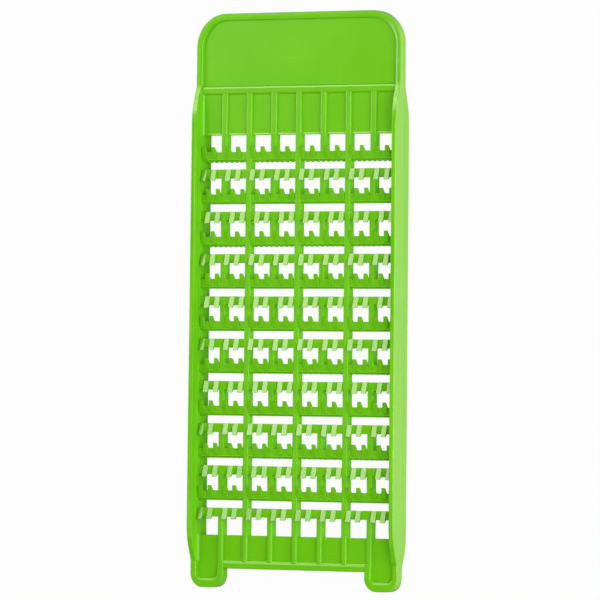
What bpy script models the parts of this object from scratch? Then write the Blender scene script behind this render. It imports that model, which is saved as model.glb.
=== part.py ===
"""Two-way vegetable grater, one plastic moulding taken apart along its own feature lines.

It lies as it is used on a board: +X to the right, +Y towards the head, +Z out of the toothed side.
Z is 0 on the back edges of the rails, and the origin is the middle of the box around the grater.
Distances called "down" are measured along the grater from the head's top edge.
"""

import bmesh
import bpy
from math import atan, cos, pi, sin
from mathutils import Matrix, Vector

# Driving sizes, in metres

SEAM = 0.0003                  # gap between neighbouring pieces

# Along the grater
HEAD_LENGTH = 0.0387           # top edge to the ridge under the head
HEAD_RIDGE = 0.0029
ENTRY_LENGTH = 0.0218          # ribbed plate above the teeth
FIRST_WINDOW = 0.0090
UP_BAR = 0.0051                # bar whose teeth point to the head
SLOT = 0.00405                 # gap between the two bars of a pair
DOWN_BAR = 0.0046              # bar whose teeth point to the feet
WINDOW = 0.00835               # gap between one pair and the next
BAR_PAIRS = 9
LAST_WINDOW = 0.00955
EXIT_LENGTH = 0.0136           # ribbed plate below the teeth
EXIT_RIDGE = 0.00385
FOOT_LENGTH = 0.01005          # a foot below the lower ridge

# Across the grater
WIDTH = 0.1225                 # over the rails' outer faces
RAIL_FRONT_WALL = 0.00265      # rail thickness at its front edge
RAIL_BACK_WALL = 0.0041        # rail thickness at its back edge
RIM_WIDTH = 0.0032             # wall around the head and the feet
RIB_WIDTH = 0.0032
OUTER_BAY = 0.0167             # rail's outer face to the middle of the next rib
BAYS = 8
HEAD_RADIUS = 0.0180
FOOT_RADIUS = 0.0066
FOOT_SOLE = 0.0053             # wall across the end of a foot

# Heights above the rails' back edges
RAIL_DEPTH = 0.0140
RIM_BACK = 0.0041
RIM_DEPTH = 0.0053
RIB_RECESS = 0.0008            # ribs and ridges lie this far under the rim's front
PANEL_RECESS = 0.0022          # panels lie this far under the rim's front
PANEL_THICKNESS = 0.0020
RIB_DEPTH = 0.0049
BAR_RECESS = 0.0004            # bars lie this far under the ribs' front
BAR_DEPTH = 0.0040

# Ramps where a rail grows out of the head and sinks into a foot
TOP_RAMP_FRONT = 0.0183
TOP_RAMP_BACK = 0.0215
FOOT_RAMP_FRONT = 0.0216
FOOT_RAMP_BACK = 0.0158

# Teeth
TOOTH_NEAR = 0.0030            # first tooth of a bay, from the bay's left rib
TOOTH_FAR = 0.0089             # second tooth of a bay
TOOTH_ROOT_WIDTH = 0.0027
TOOTH_TIP_WIDTH = 0.0022
TOOTH_LENGTH = 0.0059
TOOTH_STEP = 0.0005            # root above the bar's front
TOOTH_RISE = 0.0019            # tip above the bar's front
TOOTH_TIP_DEPTH = 0.0008
TOOTH_NECK = 0.0018            # depth of the tooth where it leaves the bar's edge
UP_OVERHANG = 0.0026
DOWN_OVERHANG = 0.0014

ARC_STEPS = 8                  # facets in a quarter turn
WELD = 1e-6                    # points closer than this are one point
GREEN = (0.171, 0.578, 0.017, 1.0)
ROUGHNESS = 0.35

# Sizes that follow from those

PAIR_PITCH = UP_BAR + SLOT + DOWN_BAR + WINDOW
HEAD_RIDGE_DOWN = HEAD_LENGTH
ENTRY_DOWN = HEAD_RIDGE_DOWN + HEAD_RIDGE
FIELD_DOWN = ENTRY_DOWN + ENTRY_LENGTH
UP_BAR_DOWN = [FIELD_DOWN + FIRST_WINDOW + pair * PAIR_PITCH for pair in range(BAR_PAIRS)]
DOWN_BAR_DOWN = [down + UP_BAR + SLOT for down in UP_BAR_DOWN]
EXIT_DOWN = DOWN_BAR_DOWN[-1] + DOWN_BAR + LAST_WINDOW
EXIT_RIDGE_DOWN = EXIT_DOWN + EXIT_LENGTH
FOOT_DOWN = EXIT_RIDGE_DOWN + EXIT_RIDGE
LENGTH = FOOT_DOWN + FOOT_LENGTH

RIM_FRONT = RIM_BACK + RIM_DEPTH
PANEL_FRONT = RIM_FRONT - PANEL_RECESS
PANEL_BACK = PANEL_FRONT - PANEL_THICKNESS
RIB_FRONT = RIM_FRONT - RIB_RECESS
RIB_BACK = RIB_FRONT - RIB_DEPTH
BAR_FRONT = RIB_FRONT - BAR_RECESS
BAR_BACK = BAR_FRONT - BAR_DEPTH
LAP_LEVEL = (BAR_FRONT + BAR_BACK) / 2    # ribs pass in front of this level, bars behind it

SIDE = WIDTH / 2
RIB_PITCH = (WIDTH - 2 * OUTER_BAY) / (BAYS - 2)
RIB_HALF = RIB_WIDTH / 2
RUNNER_PITCH = 2 * RIB_PITCH
RUNNERS = BAYS // 2 - 1        # ribs that run unbroken past every bar
POSTS = BAYS // 2              # ribs that stop at the bars, between the runners
FIRST_RUNNER = -RUNNER_PITCH * (RUNNERS - 1) / 2
FIRST_POST = -RUNNER_PITCH * (POSTS - 1) / 2
OUTER_RIB = -FIRST_POST        # the rib that becomes a foot's inner wall


def y_of(down):
    """Place along Y of a distance down from the head's top edge."""
    return LENGTH / 2 - down


def rail_inner(height):
    """Distance of a rail's leaning inner face from the middle plane."""
    wall = RAIL_BACK_WALL + (RAIL_FRONT_WALL - RAIL_BACK_WALL) * height / RAIL_DEPTH
    return SIDE - wall


# Building blocks

for old in list(bpy.data.objects):
    bpy.data.objects.remove(old)

grater = bpy.data.collections.new("vegetable_grater")
cutters = bpy.data.collections.new("cutters")
for collection in (grater, cutters):
    bpy.context.scene.collection.children.link(collection)

# A 2D curve whose x, y and z stand for the grater's Y, Z and X
SIDE_VIEW = Matrix.Rotation(pi / 2, 4, "Z") @ Matrix.Rotation(pi / 2, 4, "X")


def plastic(name):
    """The green plastic of one group of pieces."""
    material = bpy.data.materials.new(name)
    material.use_nodes = True
    shader = material.node_tree.nodes["Principled BSDF"]
    shader.inputs["Base Color"].default_value = GREEN
    shader.inputs["Roughness"].default_value = ROUGHNESS
    shader.inputs["Metallic"].default_value = 0.0
    return material


def place(name, mesh, material, location=(0, 0, 0)):
    """One finished sub-part."""
    piece = bpy.data.objects.new(name, mesh)
    piece.location = location
    if not mesh.materials:
        mesh.materials.append(material)
    grater.objects.link(piece)
    return piece


def guide(name, mesh):
    """A shape that only cuts or joins."""
    shape = bpy.data.objects.new(name, mesh)
    shape.hide_render = True
    shape.display_type = "WIRE"
    cutters.objects.link(shape)
    return shape


def evaluated_mesh(shape):
    """The shape's mesh with its modifiers applied."""
    depsgraph = bpy.context.evaluated_depsgraph_get()
    return bpy.data.meshes.new_from_object(shape.evaluated_get(depsgraph))


def tidy_mesh(mesh, matrix=Matrix.Identity(4)):
    """Weld the mesh, move it by a matrix and turn its faces out."""
    form = bmesh.new()
    form.from_mesh(mesh)
    bmesh.ops.remove_doubles(form, verts=form.verts, dist=WELD)
    form.transform(matrix)
    bmesh.ops.recalc_face_normals(form, faces=form.faces)
    form.to_mesh(mesh)
    form.free()
    return mesh


def slab(name, outline, thickness, matrix):
    """A flat outline, extruded to both sides of its own plane and then placed by a matrix."""
    curve = bpy.data.curves.new(name + "_outline", "CURVE")
    curve.dimensions = "2D"
    curve.fill_mode = "BOTH"
    curve.extrude = thickness / 2
    spline = curve.splines.new("POLY")
    spline.points.add(len(outline) - 1)
    for point, (x, y) in zip(spline.points, outline):
        point.co = (x, y, 0, 1)
    spline.use_cyclic_u = True
    sketch = guide(name + "_sketch", curve)
    mesh = evaluated_mesh(sketch)
    mesh.name = name
    bpy.data.objects.remove(sketch)
    return tidy_mesh(mesh, matrix)


def plan_slab(name, outline, back, front):
    """A slab seen from the front, between two heights."""
    return slab(name, outline, front - back, Matrix.Translation((0, 0, (back + front) / 2)))


def side_slab(name, outline, middle, width):
    """A slab seen from the side, centred on a place along X."""
    return slab(name, outline, width, Matrix.Translation((middle, 0, 0)) @ SIDE_VIEW)


def box_mesh(name, boxes):
    """Boxes given by two opposite corners, in one mesh."""
    form = bmesh.new()
    for low, high in boxes:
        low = Vector(low)
        high = Vector(high)
        middle = Matrix.Translation((low + high) / 2)
        bmesh.ops.create_cube(form, size=1, matrix=middle @ Matrix.Diagonal((high - low).to_4d()))
    mesh = bpy.data.meshes.new(name)
    form.to_mesh(mesh)
    form.free()
    return mesh


def arc(centre, radius, start, end):
    """Points along an arc, with both its ends."""
    turns = [start + (end - start) * step / ARC_STEPS for step in range(ARC_STEPS + 1)]
    return [(centre[0] + radius * cos(turn), centre[1] + radius * sin(turn)) for turn in turns]


def repeat_across(shape, count, pitch):
    """Repeat a shape along X."""
    array = shape.modifiers.new("across", "ARRAY")
    array.use_relative_offset = False
    array.use_constant_offset = True
    array.constant_offset_displace = (pitch, 0, 0)
    array.count = count


def combine(shape, other, operation):
    """Join another shape to this one, or cut it away."""
    boolean = shape.modifiers.new(other.name, "BOOLEAN")
    boolean.operation = operation
    boolean.solver = "EXACT"
    boolean.object = other


# Head: a U-shaped rim, the panel inside it and the ridge that closes it

head_plastic = plastic("head_plastic")


def arch(half_width, top, bottom, radius):
    """A round-cornered arch, from its bottom right corner over the top to its bottom left corner."""
    right = arc((half_width - radius, top - radius), radius, 0, pi / 2)
    left = arc((radius - half_width, top - radius), radius, pi / 2, pi)
    return [(half_width, bottom)] + right + left + [(-half_width, bottom)]


head_bottom = y_of(HEAD_RIDGE_DOWN - SEAM)
outer_arch = arch(SIDE, y_of(0), head_bottom, HEAD_RADIUS)
inner_arch = arch(SIDE - RIM_WIDTH, y_of(RIM_WIDTH), head_bottom, HEAD_RADIUS - RIM_WIDTH)
rim_outline = outer_arch + inner_arch[::-1]
place("head_rim", plan_slab("head_rim", rim_outline, RIM_BACK, RIM_FRONT), head_plastic)

panel_edge = RIM_WIDTH + SEAM
panel_outline = arch(SIDE - panel_edge, y_of(panel_edge), head_bottom, HEAD_RADIUS - panel_edge)
place("head_panel", plan_slab("head_panel", panel_outline, PANEL_BACK, PANEL_FRONT), head_plastic)

plate_half = rail_inner(PANEL_BACK) - SEAM
ridge_box = [(
    (-plate_half, y_of(ENTRY_DOWN - SEAM), PANEL_BACK),
    (plate_half, y_of(HEAD_RIDGE_DOWN), RIB_FRONT),
)]
place("head_ridge", box_mesh("head_ridge", ridge_box), head_plastic)

# Rails: side walls with a ramp at each end and a leaning inner face

rail_plastic = plastic("rail_plastic")


def ramp(length, rise):
    """Points of an arc that rises from its foot at (0, 0) and eases into the level."""
    slope = 2 * atan(rise / length)
    radius = length / sin(slope)
    turns = [slope * (1 - step / ARC_STEPS) for step in range(ARC_STEPS + 1)]
    return [(length - radius * sin(turn), rise - radius * (1 - cos(turn))) for turn in turns]


rail_top = y_of(HEAD_RIDGE_DOWN)
rail_end = y_of(EXIT_RIDGE_DOWN)
front_rise = RAIL_DEPTH - RIM_FRONT
rail_outline = (
    [(rail_top - run, RIM_FRONT + rise) for run, rise in ramp(TOP_RAMP_FRONT, front_rise)]
    + [(rail_end + run, RIM_FRONT + rise) for run, rise in ramp(FOOT_RAMP_FRONT, front_rise)][::-1]
    + [(rail_end + run, RIM_BACK - rise) for run, rise in ramp(FOOT_RAMP_BACK, RIM_BACK)]
    + [(rail_top - run, RIM_BACK - rise) for run, rise in ramp(TOP_RAMP_BACK, RIM_BACK)][::-1]
)


def rail(name, side):
    """The rail at the left (-1) or right (+1)."""
    mesh = side_slab(name, rail_outline, side * (SIDE - RAIL_BACK_WALL / 2), RAIL_BACK_WALL)
    for corner in mesh.vertices:
        if abs(corner.co.x) < SIDE - RAIL_BACK_WALL / 2:
            corner.co.x = side * rail_inner(corner.co.z)
    return place(name, mesh, rail_plastic)


rail("left_rail", -1)
rail("right_rail", 1)

# Feet: a U-shaped wall around the end of each outer bay

foot_plastic = plastic("foot_plastic")
foot_inner = OUTER_RIB - RIB_HALF


def cup(left, right, left_top, right_top, bottom, radius):
    """A round-cornered cup, from its top left corner under the bottom to its top right corner."""
    first = arc((left + radius, bottom + radius), radius, pi, 1.5 * pi)
    second = arc((right - radius, bottom + radius), radius, 1.5 * pi, 2 * pi)
    return [(left, left_top)] + first + second + [(right, right_top)]


def foot(name, side):
    """The foot under the left (-1) or right (+1) rail: its outer wall meets the rail's end."""
    top = y_of(EXIT_RIDGE_DOWN + SEAM)
    outside = cup(foot_inner, SIDE, top, top, y_of(LENGTH), FOOT_RADIUS)
    inside = cup(
        foot_inner + RIB_WIDTH, SIDE - RIM_WIDTH, top, top,
        y_of(LENGTH - FOOT_SOLE), FOOT_RADIUS - RIM_WIDTH,
    )
    outline = [(side * x, y) for x, y in outside + inside[::-1]]
    return place(name, plan_slab(name, outline, RIM_BACK, RIM_FRONT), foot_plastic)


foot("left_foot", -1)
foot("right_foot", 1)

# Plates above and below the teeth, and the ridge between the feet

plate_plastic = plastic("plate_plastic")

entry_box = [(
    (-plate_half, y_of(FIELD_DOWN), PANEL_BACK),
    (plate_half, y_of(ENTRY_DOWN), PANEL_FRONT),
)]
place("entry_plate", box_mesh("entry_plate", entry_box), plate_plastic)

tab_inner = OUTER_RIB + RIB_HALF + SEAM
tab_outer = min(plate_half, SIDE - RIM_WIDTH - SEAM)
shoulder = y_of(EXIT_RIDGE_DOWN - SEAM)
right_tab = cup(
    tab_inner, tab_outer, shoulder, y_of(EXIT_DOWN),
    y_of(LENGTH - FOOT_SOLE - SEAM), FOOT_RADIUS - RIM_WIDTH - SEAM,
)
left_tab = [(-x, y) for x, y in right_tab[::-1]]
exit_outline = left_tab + right_tab
place("exit_plate", plan_slab("exit_plate", exit_outline, PANEL_BACK, PANEL_FRONT), plate_plastic)

exit_ridge_box = [(
    (SEAM - foot_inner, y_of(FOOT_DOWN), RIM_BACK),
    (foot_inner - SEAM, y_of(EXIT_RIDGE_DOWN), RIB_FRONT),
)]
place("exit_ridge", box_mesh("exit_ridge", exit_ridge_box), plate_plastic)

# Ribs: runners from ridge to ridge, and short ribs on the two plates between them

rib_plastic = plastic("rib_plastic")
over_plate = PANEL_FRONT + SEAM
over_bar = LAP_LEVEL + SEAM / 2


def rib_outline(spans):
    """Side view of a rib with a level front, from its (start, end, back height) spans going down."""
    back_edge = []
    for start, end, back in spans:
        back_edge += [(y_of(start), back), (y_of(end), back)]
    first = y_of(spans[0][0])
    last = y_of(spans[-1][1])
    return back_edge + [(last, RIB_FRONT), (first, RIB_FRONT)]


runner_spans = [(ENTRY_DOWN, FIELD_DOWN + SEAM, over_plate)]
for up_down, down_down in zip(UP_BAR_DOWN, DOWN_BAR_DOWN):
    for start, width in ((up_down, UP_BAR), (down_down, DOWN_BAR)):
        runner_spans.append((runner_spans[-1][1], start - SEAM, RIB_BACK))
        runner_spans.append((start - SEAM, start + width + SEAM, over_bar))
runner_spans.append((runner_spans[-1][1], EXIT_DOWN - SEAM, RIB_BACK))
runner_spans.append((EXIT_DOWN - SEAM, EXIT_RIDGE_DOWN - SEAM, over_plate))

for number in range(RUNNERS):
    name = f"runner_rib_{number + 1}"
    middle = FIRST_RUNNER + number * RUNNER_PITCH
    place(name, side_slab(name, rib_outline(runner_spans), middle, RIB_WIDTH), rib_plastic)

entry_spans = [(ENTRY_DOWN, FIELD_DOWN, over_plate)]
exit_spans = [
    (DOWN_BAR_DOWN[-1] + DOWN_BAR + SEAM, EXIT_DOWN - SEAM, RIB_BACK),
    (EXIT_DOWN - SEAM, EXIT_RIDGE_DOWN - SEAM, over_plate),
]
for number in range(POSTS):
    middle = FIRST_POST + number * RUNNER_PITCH
    for kind, spans in (("entry_rib", entry_spans), ("exit_rib", exit_spans)):
        name = f"{kind}_{number + 1}"
        place(name, side_slab(name, rib_outline(spans), middle, RIB_WIDTH), rib_plastic)

# Toothed bars: a bar lapped behind the runners, its posts and a row of leaning teeth

bar_plastic = plastic("bar_plastic")
bar_half = rail_inner(BAR_BACK) - SEAM
CLEAR = RAIL_DEPTH             # cutters reach this far past what they cut


def tooth_mesh(overhang):
    """The two teeth of the first bay. Y is 0 on the toothed edge and Z on the bar's front."""
    root = overhang - TOOTH_LENGTH
    sink = TOOTH_NECK / 4
    profile = [
        (root, TOOTH_STEP), (root, -TOOTH_NECK), (-sink, -TOOTH_NECK),
        (overhang - TOOTH_TIP_DEPTH / 2, TOOTH_RISE - TOOTH_TIP_DEPTH), (overhang, TOOTH_RISE),
    ]
    tooth = side_slab("tooth", profile, 0, TOOTH_ROOT_WIDTH)
    for corner in tooth.vertices:
        along = max(corner.co.y, 0) / overhang
        corner.co.x *= 1 + along * (TOOTH_TIP_WIDTH / TOOTH_ROOT_WIDTH - 1)
    form = bmesh.new()
    for offset in (TOOTH_NEAR, TOOTH_FAR):
        copy = tooth.copy()
        copy.transform(Matrix.Translation((offset - RIB_PITCH * BAYS / 2, 0, 0)))
        form.from_mesh(copy)
        bpy.data.meshes.remove(copy)
    form.to_mesh(tooth)
    form.free()
    return tooth


def rib_gap(middle, low_y, high_y, low_z):
    """A cutter box that leaves a rib free from a height upwards."""
    reach = RIB_HALF + SEAM
    return ((middle - reach, low_y, low_z), (middle + reach, high_y, CLEAR))


def bar_mesh(name, width, overhang, post, flip):
    """A toothed bar in its own frame, teeth towards +Y, with posts of a length or clear of posts.

    Y is 0 on the toothed edge and Z is 0 on the bar's front. A flipped bar has its teeth set out
    from the right rail instead of the left one.
    """
    bar = guide(name, box_mesh(name, [((-bar_half, -width, -BAR_DEPTH), (bar_half, 0, 0))]))
    joined = guide(name + "_teeth", tooth_mesh(overhang))
    repeat_across(joined, BAYS, RIB_PITCH)
    helpers = [bar, joined]
    if flip:
        mirrored = evaluated_mesh(joined)
        joined.modifiers.clear()
        joined.data = tidy_mesh(mirrored, Matrix.Diagonal((-1, 1, 1, 1)))
    combine(bar, joined, "UNION")

    rib_back = RIB_BACK - BAR_FRONT
    rib_front = RIB_FRONT - BAR_FRONT
    runners = [FIRST_RUNNER + number * RUNNER_PITCH for number in range(RUNNERS)]
    posts = [FIRST_POST + number * RUNNER_PITCH for number in range(POSTS)]
    if post:
        boxes = [((x - RIB_HALF, -SEAM, rib_back), (x + RIB_HALF, post, rib_front)) for x in posts]
        standing = guide(name + "_posts", box_mesh(name + "_posts", boxes))
        combine(bar, standing, "UNION")
        helpers.append(standing)

    lap = LAP_LEVEL - SEAM / 2 - BAR_FRONT
    passing = runners if post else runners + posts
    cuts = {
        "laps": [rib_gap(x, -width - CLEAR, CLEAR, lap) for x in runners],
        "gaps": [rib_gap(x, SEAM, CLEAR, -CLEAR) for x in passing],
        "ends": [
            ((bar_half, -CLEAR, -CLEAR), (bar_half + CLEAR, CLEAR, CLEAR)),
            ((-bar_half - CLEAR, -CLEAR, -CLEAR), (-bar_half, CLEAR, CLEAR)),
        ],
    }
    for purpose, boxes in cuts.items():
        cutter = guide(f"{name}_{purpose}", box_mesh(f"{name}_{purpose}", boxes))
        combine(bar, cutter, "DIFFERENCE")
        helpers.append(cutter)

    mesh = evaluated_mesh(bar)
    mesh.name = name
    for helper in helpers:
        bpy.data.objects.remove(helper)
    return mesh


HALF_TURN = Matrix.Rotation(pi, 4, "Z")    # teeth of a down bar point to -Y
first_post = FIRST_WINDOW - SEAM
next_post = WINDOW - SEAM
first_up = bar_mesh("first_up_bar", UP_BAR, UP_OVERHANG, first_post, False)
up_meshes = []
down_meshes = []
for flip in (False, True):
    up_meshes.append(bar_mesh(f"up_bar_{flip}", UP_BAR, UP_OVERHANG, next_post, flip))
    down_meshes.append(bar_mesh(f"down_bar_{flip}", DOWN_BAR, DOWN_OVERHANG, 0, not flip))
    down_meshes[-1].transform(HALF_TURN)

for number in range(BAR_PAIRS):
    flip = number % 2
    up_mesh = first_up if number == 0 else up_meshes[flip]
    up_edge = y_of(UP_BAR_DOWN[number])
    down_edge = y_of(DOWN_BAR_DOWN[number] + DOWN_BAR)
    place(f"up_tooth_bar_{number + 1}", up_mesh, bar_plastic, (0, up_edge, BAR_FRONT))
    place(f"down_tooth_bar_{number + 1}", down_meshes[flip], bar_plastic, (0, down_edge, BAR_FRONT))

print(f"grater {LENGTH * 1000:.1f} mm long, {WIDTH * 1000:.1f} mm wide, {RAIL_DEPTH * 1000:.1f} mm deep")
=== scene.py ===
# %% [markdown]
# # A two-way vegetable grater
# The real thing is one injection moulding in bright green plastic: a head to hold, two side rails,
# ribs, and bars with small leaning teeth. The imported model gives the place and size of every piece.
# This lesson makes the fine shapes around those places (round edges, sloping flanks, leaning teeth)
# and one family of plastics. Loading the frame comes first, because every size below is read from it.

# %% Load the frame
from math import asin, atan2, copysign, cos, hypot, pi, radians, sin, sqrt, tan

import bmesh
import bpy
from mathutils import Matrix, Vector


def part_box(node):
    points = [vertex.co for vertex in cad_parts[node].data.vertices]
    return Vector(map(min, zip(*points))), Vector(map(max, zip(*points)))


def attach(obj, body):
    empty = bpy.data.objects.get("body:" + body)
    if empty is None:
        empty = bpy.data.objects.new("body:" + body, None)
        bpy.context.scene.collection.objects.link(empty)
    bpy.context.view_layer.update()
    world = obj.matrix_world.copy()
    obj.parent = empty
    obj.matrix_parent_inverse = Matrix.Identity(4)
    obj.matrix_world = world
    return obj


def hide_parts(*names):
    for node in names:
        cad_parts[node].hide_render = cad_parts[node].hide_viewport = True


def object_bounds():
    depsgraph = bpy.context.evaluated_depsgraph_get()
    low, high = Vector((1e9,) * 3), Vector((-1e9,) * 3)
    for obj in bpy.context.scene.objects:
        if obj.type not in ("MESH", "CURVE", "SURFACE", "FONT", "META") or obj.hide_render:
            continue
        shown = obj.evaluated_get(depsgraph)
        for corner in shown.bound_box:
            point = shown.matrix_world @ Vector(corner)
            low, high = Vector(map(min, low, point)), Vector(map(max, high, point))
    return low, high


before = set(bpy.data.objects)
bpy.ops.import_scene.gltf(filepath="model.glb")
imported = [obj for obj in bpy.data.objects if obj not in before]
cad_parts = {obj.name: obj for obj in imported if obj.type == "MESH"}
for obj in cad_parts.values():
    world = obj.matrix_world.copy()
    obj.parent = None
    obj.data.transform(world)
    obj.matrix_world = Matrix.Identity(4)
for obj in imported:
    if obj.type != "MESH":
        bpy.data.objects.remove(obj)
cad_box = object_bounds()
MM = 0.001
cad_size = [round(side / MM, 1) for side in cad_box[1] - cad_box[0]]
print("frame:", len(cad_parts), "nodes,", cad_size, "mm")

# %% [markdown]
# ## Main lines
# A moulding designer thinks in a few levels and edges: the front of the rails, the front of the ribs,
# the front and back of the thin panels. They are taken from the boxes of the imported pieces, so a new
# pack moves everything here with it.

# %% Levels and edges
rail_low, rail_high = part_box("right_rail")
rim_low, rim_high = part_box("head_rim")
panel_low, panel_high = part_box("head_panel")
runner_low, runner_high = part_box("runner_rib_2")
SIDE = rail_high.x
RAIL_FRONT = rail_high.z
RAIL_TOP = rail_high.y
RAIL_END = rail_low.y
RIM_FRONT = rim_high.z
RIM_BACK = rim_low.z
HEAD_TOP = rim_high.y
RIB_FRONT = runner_high.z
RIB_BACK = runner_low.z
BAR_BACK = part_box("down_tooth_bar_1")[0].z
PANEL_FRONT = panel_high.z
PANEL_BACK = panel_low.z
RAIL_BACK_WALL = rail_high.x - rail_low.x
FIELD_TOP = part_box("entry_plate")[0].y
FIELD_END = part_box("exit_plate")[1].y
RAIL_FRONT_WALL = 2.65 * MM  # a rail's wall is thinner in front than behind
RIM_WIDTH = 3.2 * MM
FLARE = 0.65 * MM  # at the feet the rails stand this much further out than at the head
BURY = 0.8 * MM  # how far a piece runs on inside its neighbour
INSIDE = PANEL_BACK + BURY  # level inside the panels, where hidden sides end
print("rail front", round(RAIL_FRONT / MM, 2), "rim front", round(RIM_FRONT / MM, 2), "mm")


def rail_outer(y):
    """Distance of a rail's outer face from the middle plane, at a place along the grater."""
    return SIDE + FLARE * (RAIL_TOP - y) / (RAIL_TOP - RAIL_END)


def rail_inner(height, y):
    """Distance of a rail's leaning inner face from the middle plane."""
    wall = RAIL_BACK_WALL + (RAIL_FRONT_WALL - RAIL_BACK_WALL) * height / RAIL_FRONT
    return rail_outer(y) - wall


# %% [markdown]
# ## Camera
# A long lens far away keeps the rails nearly parallel, as in a catalogue picture. The camera looks at
# the toothed side from 30 degrees to the right, and it is rolled a little. The matrix is built from
# the three axes of the picture, because that says plainly which way is right, up and back.

# %% Camera
PICTURE_PIXELS = 600
FOCAL_PIXELS = 6143
CAMERA_TURN = radians(30.0)
CAMERA_RISE = radians(-0.85)
CAMERA_ROLL = radians(0.61)
CAMERA_DISTANCE = 3.197
CAMERA_AIM = Vector((-2.62, 0.48, 0)) * MM


def new_object(name, data):
    """An object in the scene."""
    made = bpy.data.objects.new(name, data)
    bpy.context.scene.collection.objects.link(made)
    return made


back = Vector((
    sin(CAMERA_TURN) * cos(CAMERA_RISE),
    sin(CAMERA_RISE),
    cos(CAMERA_TURN) * cos(CAMERA_RISE),
))
level = Vector((cos(CAMERA_TURN), 0, -sin(CAMERA_TURN)))
upright = back.cross(level)
right = level * cos(CAMERA_ROLL) + upright * sin(CAMERA_ROLL)
up = upright * cos(CAMERA_ROLL) - level * sin(CAMERA_ROLL)

lens = bpy.data.cameras.new("long_lens")
lens.lens = lens.sensor_width * FOCAL_PIXELS / PICTURE_PIXELS
camera = new_object("camera", lens)
facing = Matrix((right, up, back)).transposed().to_4x4()
camera.matrix_world = Matrix.Translation(CAMERA_AIM + back * CAMERA_DISTANCE) @ facing
bpy.context.scene.camera = camera
bpy.context.scene.view_settings.view_transform = "Standard"
print("lens", round(lens.lens, 1), "mm")

# %% [markdown]
# ## Writing nodes as Python
# Node trees are easier to read as sums than as a list of links. `Wire` wraps one socket and turns
# +, -, * and / into Math nodes, with the reflected forms, so that 1 - mask works as well. `Sheet.node`
# adds any other node from its type, its settings and its sockets, and three short methods ask it for
# the nodes that come up most. The same two classes serve the materials, the world and the geometry trees.

# %% Node helpers
# places of the colour sockets on a Mix node
MIX_FIRST = 6
MIX_SECOND = 7
MIX_RESULT = 2


class Wire:
    """A node's output that can stand in a Python sum."""

    def __init__(self, sheet, socket):
        self.sheet = sheet
        self.socket = socket

    def sum(self, operation, first, second):
        made = self.sheet.node("ShaderNodeMath", {"operation": operation}, {0: first, 1: second})
        return self.sheet.wire(made)

    def __add__(self, other):
        return self.sum("ADD", self, other)

    def __radd__(self, other):
        return self.sum("ADD", other, self)

    def __sub__(self, other):
        return self.sum("SUBTRACT", self, other)

    def __rsub__(self, other):
        return self.sum("SUBTRACT", other, self)

    def __mul__(self, other):
        return self.sum("MULTIPLY", self, other)

    def __rmul__(self, other):
        return self.sum("MULTIPLY", other, self)

    def __truediv__(self, other):
        return self.sum("DIVIDE", self, other)

    def __rtruediv__(self, other):
        return self.sum("DIVIDE", other, self)


class Sheet:
    """A node tree that is filled from Python."""

    def __init__(self, tree):
        self.tree = tree
        tree.nodes.clear()

    def node(self, kind, settings=None, sockets=None):
        """Add a node: its settings first, then its sockets' values, wires, or nodes to be linked."""
        made = self.tree.nodes.new(kind)
        for name, value in (settings or {}).items():
            setattr(made, name, value)
        for name, value in (sockets or {}).items():
            if isinstance(value, bpy.types.Node):
                value = self.wire(value)
            if isinstance(value, Wire):
                self.tree.links.new(value.socket, made.inputs[name])
            else:
                made.inputs[name].default_value = value
        return made

    def wire(self, node, output=0):
        """One output of a node, ready for sums and links."""
        return Wire(self, node.outputs[output])

    def blend(self, share, first, second, clamped=True):
        """Two colours mixed by a share."""
        settings = {"data_type": "RGBA", "clamp_factor": clamped}
        sockets = {0: share, MIX_FIRST: first, MIX_SECOND: second}
        return self.wire(self.node("ShaderNodeMix", settings, sockets), MIX_RESULT)

    def noise(self, place, scale, detail, roughness):
        """Noise around one half."""
        sockets = {"Vector": place, "Scale": scale, "Detail": detail, "Roughness": roughness}
        return self.wire(self.node("ShaderNodeTexNoise", {}, sockets), "Fac")

    def mark(self, name):
        """A number that a piece carries on its faces."""
        return self.wire(self.node("ShaderNodeAttribute", {"attribute_name": name}), "Fac")


# %% [markdown]
# ## Floor
# The floor is plain and pale. Rays from the camera see it almost white, with a small share of real
# shading so that the grater keeps its shadow. Light that bounces off it sees an ordinary pale floor, and
# mirror rays see something between the two. From below it lets the camera through, so that the back can
# be looked at.

# %% Floor
WHITE = (1.0, 1.0, 1.0, 1.0)
WHITE_LEVEL = 1.0  # a surface that shines this strongly is white in the picture
FLOOR_SIZE = 30.0
FLOOR_PALE = (0.55, 0.55, 0.55, 1)
SHADOW_SHARE = 0.035  # share of real shading where the camera sees the floor
MIRROR_SHARE = 0.9  # and where the plastic mirrors it

floor_finish = bpy.data.materials.new("pale_floor")
floor_finish.use_nodes = True
sheet = Sheet(floor_finish.node_tree)
shaded = sheet.node("ShaderNodeBsdfDiffuse", {}, {"Color": FLOOR_PALE})
white = sheet.node("ShaderNodeEmission", {}, {"Color": WHITE, "Strength": WHITE_LEVEL})
open_view = sheet.node("ShaderNodeBsdfTransparent")
rays = sheet.node("ShaderNodeLightPath")
seen = sheet.wire(rays, "Is Camera Ray") + sheet.wire(rays, "Is Transmission Ray")
mirrored = sheet.wire(rays, "Is Glossy Ray")
white_share = seen * (1 - SHADOW_SHARE) + mirrored * (1 - MIRROR_SHARE)
front = sheet.node("ShaderNodeMixShader", {}, {0: white_share, 1: shaded, 2: white})
underside = sheet.wire(sheet.node("ShaderNodeNewGeometry"), "Backfacing")
surface = sheet.node("ShaderNodeMixShader", {}, {0: underside, 1: front, 2: open_view})
sheet.node("ShaderNodeOutputMaterial", {}, {"Surface": surface})


def mesh_from(form, name, finish):
    """A mesh with one finish, from a form that is then freed."""
    mesh = bpy.data.meshes.new(name)
    form.to_mesh(mesh)
    form.free()
    mesh.materials.append(finish)
    return mesh


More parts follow.
